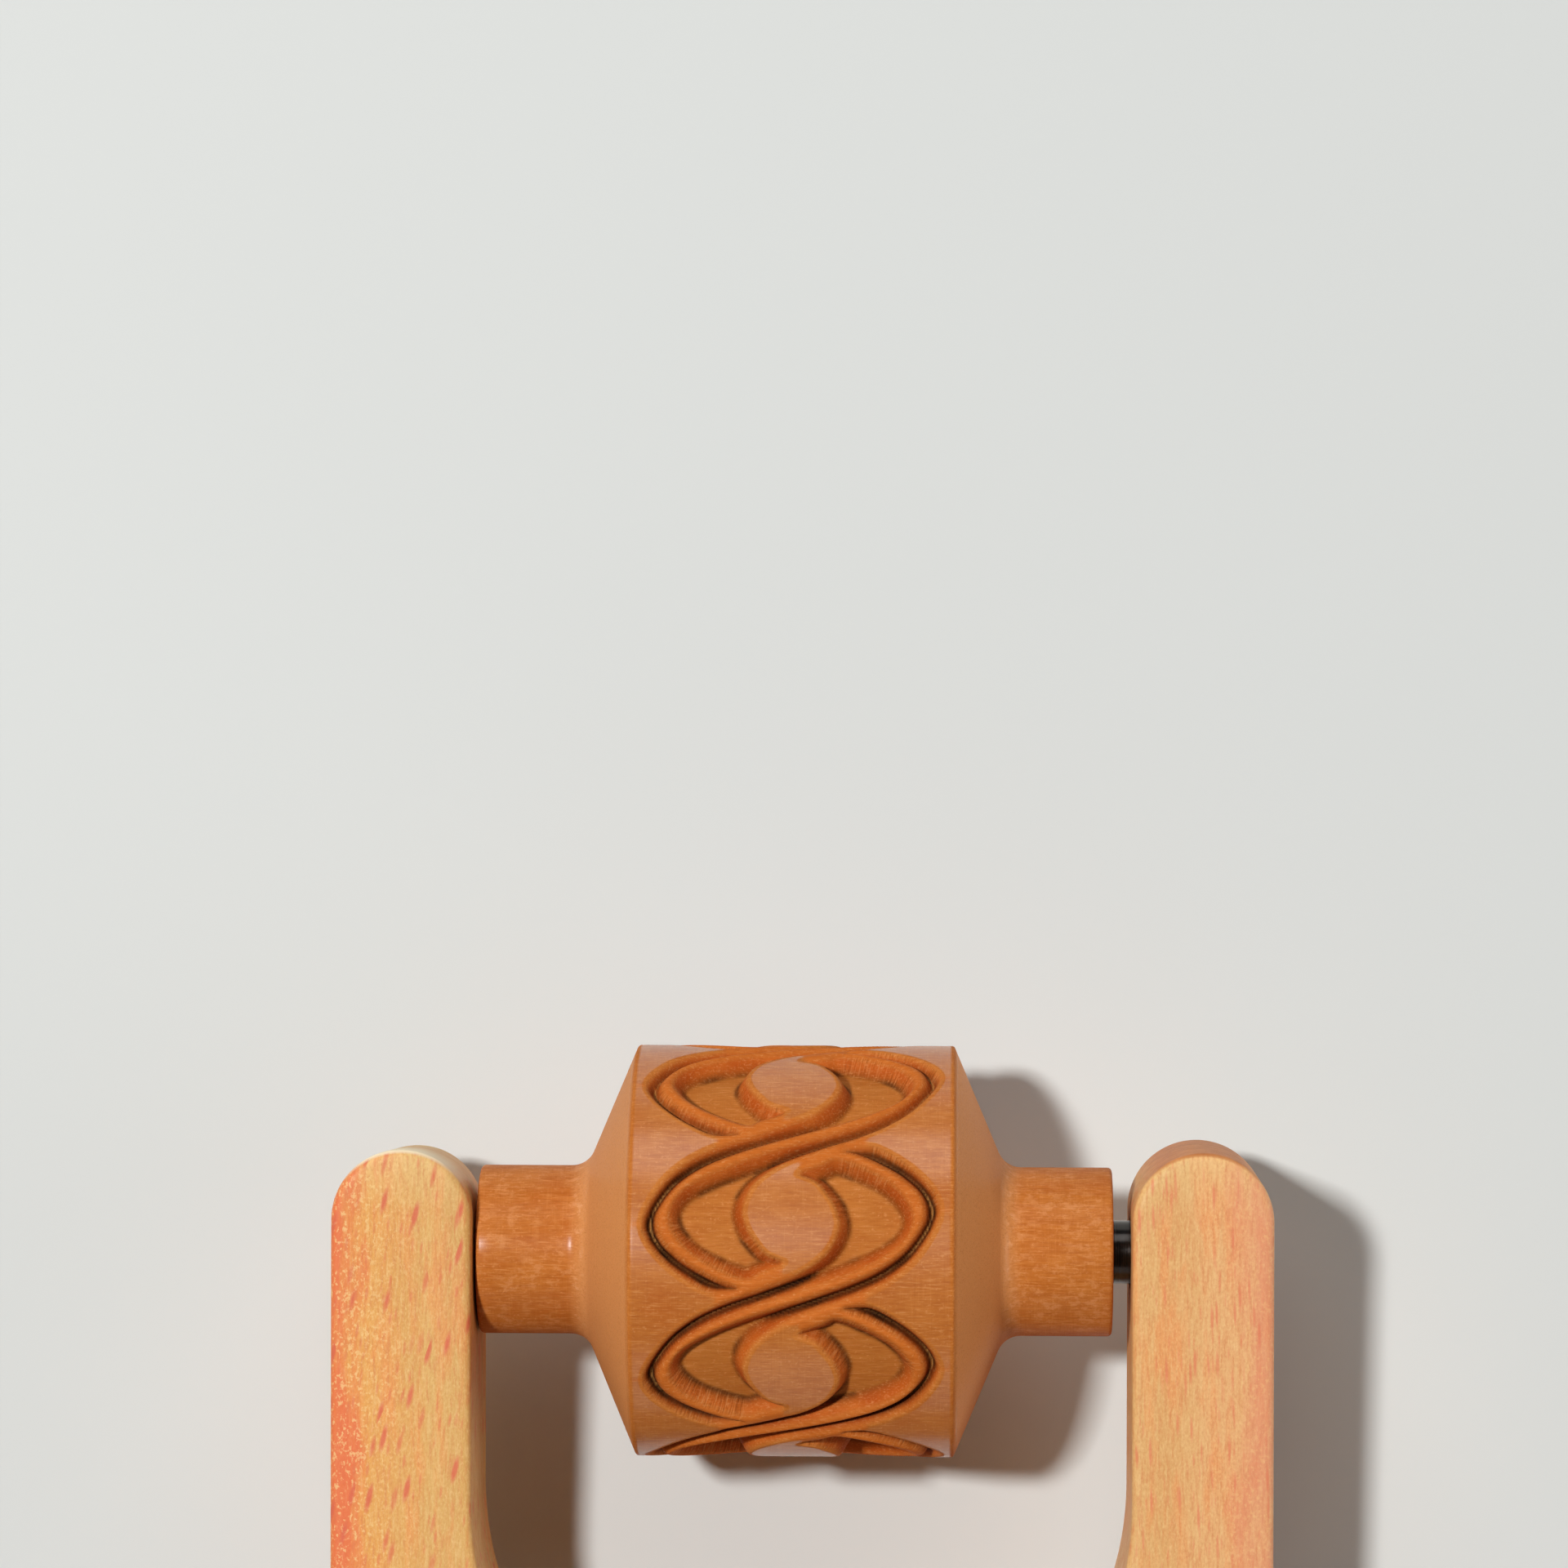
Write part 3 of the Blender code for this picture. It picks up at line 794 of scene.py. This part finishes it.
class Steel(Nodes):
    """Polished steel rod with fine turned lines around it, its colour darkened as painted shade for the dark
    room that it reflects.
    """

    def __init__(self):
        super().__init__("steel")
        lines = self.noise((5200, 60, 60), 3.0, 0.6)
        # Painted shade: the steel's colour darkened in place of dark surroundings in its reflection.
        self.surface(Base_Color=self.mix(lines, colour(58, 55, 53), colour(84, 80, 77)), Metallic=1.0)
        self.surface(Roughness=self.band(lines, 0.3, 0.7, 0.16, 0.24))
        self.surface(Normal=self.bump(lines, 0.04 * MM, 0.6))


class ClayRollerSettings(PropertyGroup):
    """Sizes of the carved roller."""

    depth: FloatProperty(
        name="Pocket depth",
        description="Depth of the carved pockets",
        default=1.8 * MM,
        subtype="DISTANCE",
    )
    slope: FloatProperty(name="Wall slope", description="Rise of a carved wall over its run", default=1.71)
    edge: FloatProperty(
        name="Edge softness",
        description="Half width of a sanded edge",
        default=0.19 * MM,
        subtype="DISTANCE",
    )
    columns: IntProperty(name="Divisions", description="Divisions of the drum in one repeat", default=80)


class ClayForkSettings(PropertyGroup):
    """How finely the fork is divided."""

    edge_steps: IntProperty(name="Edge steps", description="Divisions of each rounded edge", default=8)
    arc_step: FloatProperty(
        name="Arc step",
        description="Largest turn of one division",
        default=math.radians(2.5),
        subtype="ANGLE",
    )


class ClayPinSettings(PropertyGroup):
    """The pin's finish."""

    chamfer: FloatProperty(
        name="Chamfer",
        description="Width of the chamfer on each end",
        default=0.5 * MM,
        subtype="DISTANCE",
    )


class ClayStageSettings(PropertyGroup):
    """Floor and camera."""

    floor_colour: FloatVectorProperty(
        name="Floor",
        description="Colour of the plain floor",
        default=colour(216, 218, 215)[:3],
        subtype="COLOR",
    )
    lens: FloatProperty(name="Lens", description="Focal length in millimetres", default=137.0)


class CLAYROLLER_OT_roller(Operator):
    """Build the carved wooden roller"""

    bl_idname = "clay_roller.roller"
    bl_label = "Carved roller"

    def execute(self, context):
        settings = context.scene.clay_roller
        along = np.linspace(-(DRUM_HALF - RIM_STRIP), DRUM_HALF - RIM_STRIP, DRUM_POINTS)
        depth, fields = carved_fields(along, settings)
        sides = settings.columns * REPEATS
        radius = DRUM_RADIUS - np.tile(depth, (REPEATS, 1))
        points = turned_points(along[None], radius, even_angles(sides, CARVING_PHASE), ROLLER_X)
        faces = ring_faces(sides, DRUM_POINTS).tolist()
        points = self.add_ends(points, faces, sides)
        piece = set_mesh("carved_roller", points, faces)
        for name, field in fields.items():
            values = np.tile(field, (REPEATS, 1)).ravel()
            add_attribute(piece, name, np.pad(values, (0, len(points) - len(values))))
        finish_piece(piece, "texture_roller", "roller", CarvedWood().material, 50)
        return {"FINISHED"}

    def add_ends(self, points, faces, sides):
        """The points with a turned end on either side of the drum. Its faces and the bore's join the list.

        One side of an end meets several of the drum's sides, so the ends are the coarser ones."""
        end = self.end_profile()
        coarse = sides // DRUM_SIDES_PER_END_SIDE
        bores = []
        for side in (-1, 1):
            ring = len(points) + np.arange(coarse) * len(end)
            grid = ring_faces(coarse, len(end), len(points))
            rim = np.arange(sides) * DRUM_POINTS + (DRUM_POINTS - 1 if side > 0 else 0)
            joined = reduced_ring(rim, ring)
            faces += (grid if side > 0 else grid[:, ::-1]).tolist()
            faces += (joined if side < 0 else joined[:, ::-1]).tolist()
            angles = even_angles(coarse, CARVING_PHASE)
            added = turned_points(side * end[None, :, 0], end[None, :, 1], angles, ROLLER_X)
            points = np.vstack([points, added])
            bores.append(ring + len(end) - 1)
        left, right = bores
        faces += np.stack([right, np.roll(right, -1), np.roll(left, -1), left], axis=-1).tolist()
        return points

    def end_profile(self):
        """Rim, cone, fillet, hub, end face and bore: arcs and straight lines, from the drum outwards."""
        slope = math.atan2(DRUM_RADIUS - HUB_RADIUS, CONE_LENGTH)
        shoulder = (DRUM_HALF - RIM_ROUNDING * math.tan(slope * HALF), DRUM_RADIUS - RIM_ROUNDING)
        edge = arc(shoulder, RIM_ROUNDING, QUARTER_TURN, QUARTER_TURN - slope, 5)
        foot = (CONE_END + CONE_FILLET * math.tan(slope * HALF), HUB_RADIUS + CONE_FILLET)
        fillet = arc(foot, CONE_FILLET, -QUARTER_TURN - slope, -QUARTER_TURN, 8)
        cone = np.linspace(edge[-1], fillet[0], 9)[1:-1]
        corner = (ROLLER_HALF - HUB_ROUNDING, HUB_RADIUS - HUB_ROUNDING)
        corner = arc(corner, HUB_ROUNDING, QUARTER_TURN, 0, 4)
        hub = np.linspace(fillet[-1], corner[0], 8)[1:-1]
        lip = arc((ROLLER_HALF - BORE_EASE, BORE_RADIUS + BORE_EASE), BORE_EASE, 0, -QUARTER_TURN, 3)
        return np.vstack([edge, cone, fillet, hub, corner, lip])


class CLAYROLLER_OT_pin(Operator):
    """Build the steel pin"""

    bl_idname = "clay_roller.pin"
    bl_label = "Steel pin"

    def execute(self, context):
        chamfer = context.scene.clay_pin.chamfer
        face = PIN_RADIUS - chamfer
        shaft_end = PIN_HALF - chamfer - 2 * PIN_EASE
        end = np.array([
            (PIN_HALF - chamfer - PIN_EASE, PIN_RADIUS),
            (PIN_HALF - chamfer + PIN_EASE * HALF, PIN_RADIUS - PIN_EASE * HALF),
            (PIN_HALF - PIN_EASE, face + PIN_EASE),
            (PIN_HALF, face - PIN_EASE),
            (PIN_HALF, face * 0.7),
            (PIN_HALF, face * 0.35),
        ])
        shaft = np.linspace((-shaft_end, PIN_RADIUS), (shaft_end, PIN_RADIUS), SHAFT_POINTS)
        points, faces, first, last = turned_rod(np.vstack([end[::-1] * (-1, 1), shaft, end]))
        pole = np.full(ROD_SIDES, len(points))
        faces += np.stack([pole, np.roll(first, -1), first], axis=-1).tolist()
        faces += np.stack([last, np.roll(last, -1), pole + 1], axis=-1).tolist()
        poles = AXIS + np.array([[-PIN_HALF, 0, 0], [PIN_HALF, 0, 0]])
        piece = set_mesh("steel_pin", np.vstack([points, poles]), faces)
        finish_piece(piece, "axle_pin", "pin", Steel().material, 30)
        return {"FINISHED"}


class CLAYROLLER_OT_fork(Operator):
    """Build the beech fork with its grip"""

    bl_idname = "clay_roller.fork"
    bl_label = "Beech fork"

    def execute(self, context):
        settings = context.scene.clay_fork
        outline = divided(rounded_outline(self.corners(), settings.arc_step), LONGEST_SIDE)
        ahead = np.roll(outline, -1, axis=0) - np.roll(outline, 1, axis=0)
        outward = np.stack([ahead[:, 1], -ahead[:, 0]], axis=1) / np.hypot(*ahead.T)[:, None]
        following = np.roll(outline, -1, axis=0)
        area = np.sum(outline[:, 0] * following[:, 1] - following[:, 0] * outline[:, 1])
        outward *= np.sign(area)
        inset, level = self.edge_rounding(settings.edge_steps)
        drawn = self.left_tip_undercut(outline, level)
        board = outline[:, None, :] - outward[:, None, :] * (inset + drawn)[..., None]
        levels = np.broadcast_to(level, board.shape[:2])
        points = np.concatenate([board, levels[..., None]], axis=-1)
        rows, columns = points.shape[:2]
        faces = ring_faces(rows, columns).tolist()
        top = (np.arange(rows) * columns).tolist()
        bottom = (np.arange(rows) * columns + columns - 1).tolist()
        faces += [top[::-1], bottom]
        if area > 0:
            faces = [face[::-1] for face in faces]
        piece = set_mesh("beech_fork", self.settle(points.reshape(-1, 3)), faces)
        self.drill(piece)
        finish_piece(piece, "fork_handle", "fork", Beech().material, 50)
        return {"FINISHED"}

    def corners(self):
        """The right half of the outline, from the crotch round the arm to the grip's end, then mirrored."""
        neck = NECK_WIDTH * HALF
        end = GRIP_END_WIDTH * HALF
        tip = ARM_WIDTH * HALF
        flare = math.atan2(end - neck, GRIP_REACH - NECK_REACH)
        end_radius = end * math.tan((QUARTER_TURN - flare) * HALF)
        right = [
            (ARM_INSIDE, -CROTCH_REACH, ARM_INSIDE),
            (ARM_INSIDE, ARM_TIP_REACH, tip),
            (ARM_OUTSIDE, ARM_TIP_REACH, tip),
            (ARM_OUTSIDE, -SHOULDER_REACH, SHOULDER_RADIUS),
            (neck, -NECK_REACH, NECK_RADIUS),
            (end, -GRIP_REACH, end_radius),
        ]
        return right + [(-x, y, radius) for x, y, radius in reversed(right)]

    def edge_rounding(self, steps):
        """How far each ring of the board lies inside its outline, and its level: a quarter circle at both
        edges, and one ring further in on each flat face."""
        quarter = np.linspace(QUARTER_TURN, 0, steps + 1)
        inset = EDGE_ROUNDING * (1 - np.cos(quarter))
        level = BOARD_THICKNESS * HALF - EDGE_ROUNDING * (1 - np.sin(quarter))
        inset = np.concatenate([[EDGE_ROUNDING + FACE_INSET], inset])
        level = np.concatenate([[BOARD_THICKNESS * HALF], level])
        return np.concatenate([inset, inset[::-1]]), np.concatenate([level, -level[::-1]])

    def left_tip_undercut(self, outline, level):
        """How far the left arm's end is drawn in under its upper edge: a share that grows evenly with the
        way down, and with the way out along the arm past the pin."""
        down = np.clip(HALF - level / BOARD_THICKNESS, 0, 1)
        out = np.where(outline[:, 0] < 0, np.clip(outline[:, 1] / ARM_TIP_REACH, 0, 1), 0)
        return LEFT_TIP_UNDERCUT * out[:, None] * down

    def settle(self, points):
        """Turns the flat board about the pin by its tilt and sets it on the axis."""
        turn = np.array(Euler((TILT, 0, 0)).to_matrix())
        return points @ turn.T + (0, AXIS[1], AXIS[2])

    def drill(self, piece):
        """Cuts the pin's hole through both arms, its rims eased, with a spindle along the pin."""
        rim = HOLE_RADIUS + HOLE_EASE + DRILL_OVERRUN
        side = np.array([
            (ARM_INSIDE - DRILL_OVERRUN, rim),
            (ARM_INSIDE + HOLE_EASE, HOLE_RADIUS),
            (ARM_OUTSIDE - HOLE_EASE, HOLE_RADIUS),
            (ARM_OUTSIDE + DRILL_OVERRUN, rim),
        ])
        points, faces, first, last = turned_rod(np.vstack([side[::-1] * (-1, 1), side]))
        faces += [first[::-1].tolist(), last.tolist()]
        spindle = set_mesh("spindle", points, faces)
        cut = piece.modifiers.new("pin_hole", "BOOLEAN")
        cut.object = spindle
        cut.solver = "EXACT"
        graph = bpy.context.evaluated_depsgraph_get()
        drilled = bpy.data.meshes.new_from_object(piece.evaluated_get(graph))
        piece.modifiers.clear()
        piece.data = drilled
        bpy.data.objects.remove(spindle)


class CLAYROLLER_OT_stage(Operator):
    """Set the floor, the light and the camera"""

    bl_idname = "clay_roller.stage"
    bl_label = "Stage"

    def execute(self, context):
        settings = context.scene.clay_stage
        self.floor(settings)
        for name, place, size, power in LAMPS:
            self.lamp(name, place, size, power)
        world = bpy.data.worlds.new("studio")
        world.use_nodes = True
        background = world.node_tree.nodes["Background"]
        background.inputs["Color"].default_value = (1, 1, 1, 1)
        background.inputs["Strength"].default_value = WORLD_STRENGTH
        context.scene.world = world
        context.scene.view_settings.view_transform = "Standard"
        camera = bpy.data.objects.new("camera", bpy.data.cameras.new("camera"))
        camera.data.lens = settings.lens
        camera.data.sensor_width = SENSOR_WIDTH
        camera.location = CAMERA_PLACE
        camera.rotation_euler = Euler(CAMERA_TURN)
        context.collection.objects.link(camera)
        context.scene.camera = camera
        return {"FINISHED"}

    def floor(self, settings):
        """A wide plain sheet that curves up far behind the tool, by the square of the way past a line."""
        across = np.linspace(-FLOOR_HALF, FLOOR_HALF, FLOOR_COLUMNS)
        along = np.linspace(-FLOOR_HALF, FLOOR_HALF, FLOOR_ROWS)
        rise = RISE_HEIGHT * ramp(along, RISE_START, FLOOR_HALF) ** 2
        grid = np.stack(np.meshgrid(across, along, indexing="ij"), axis=-1)
        points = np.concatenate([grid, np.broadcast_to(rise, grid.shape[:2])[..., None]], axis=-1)
        here = np.arange(FLOOR_COLUMNS - 1)[:, None] * FLOOR_ROWS + np.arange(FLOOR_ROWS - 1)[None]
        beside = here + FLOOR_ROWS
        faces = np.stack([here, beside, beside + 1, here + 1], axis=-1).reshape(-1, 4)
        floor = set_mesh("floor", points.reshape(-1, 3), faces.tolist())
        nodes = Nodes("floor")
        nodes.surface(Base_Color=(*settings.floor_colour, 1), Roughness=0.8)
        floor.data.materials.append(nodes.material)

    def lamp(self, name, place, size, power):
        """A soft lamp, so wide and so high, that faces the roller."""
        light = bpy.data.lights.new(name, "AREA")
        light.shape = "RECTANGLE"
        light.size, light.size_y = size
        light.energy = power
        made = bpy.data.objects.new(name, light)
        made.location = place
        made.rotation_euler = (Vector(AXIS) - made.location).to_track_quat("-Z", "Y").to_euler()
        bpy.context.collection.objects.link(made)


class CLAYROLLER_PT_panel(Panel):
    """Lists the pieces of the clay texture roller"""

    bl_idname = "CLAYROLLER_PT_panel"
    bl_label = "Clay texture roller"
    bl_space_type = "VIEW_3D"
    bl_region_type = "UI"
    bl_category = "Clay roller"

    def draw(self, context):
        for operator, group, _ in STEPS:
            column = self.layout.column(align=True)
            settings = getattr(context.scene, group)
            for name in settings.__annotations__:
                column.prop(settings, name)
            column.operator(operator.bl_idname)


# Each operator with the name and the class of its settings, in the order of building
STEPS = (
    (CLAYROLLER_OT_fork, "clay_fork", ClayForkSettings),
    (CLAYROLLER_OT_roller, "clay_roller", ClayRollerSettings),
    (CLAYROLLER_OT_pin, "clay_pin", ClayPinSettings),
    (CLAYROLLER_OT_stage, "clay_stage", ClayStageSettings),
)


def register():
    """Makes the settings, the operators and the panel known."""
    for operator, name, group in STEPS:
        bpy.utils.register_class(group)
        setattr(bpy.types.Scene, name, PointerProperty(type=group))
        bpy.utils.register_class(operator)
    bpy.utils.register_class(CLAYROLLER_PT_panel)


def unregister():
    """Takes them away again."""
    bpy.utils.unregister_class(CLAYROLLER_PT_panel)
    for operator, name, group in reversed(STEPS):
        bpy.utils.unregister_class(operator)
        delattr(bpy.types.Scene, name)
        bpy.utils.unregister_class(group)


def main():
    """Builds every piece."""
    register()
    for operator, _, _ in STEPS:
        category, name = operator.bl_idname.split(".")
        getattr(getattr(bpy.ops, category), name)()


if __name__ == "__main__":
    main()
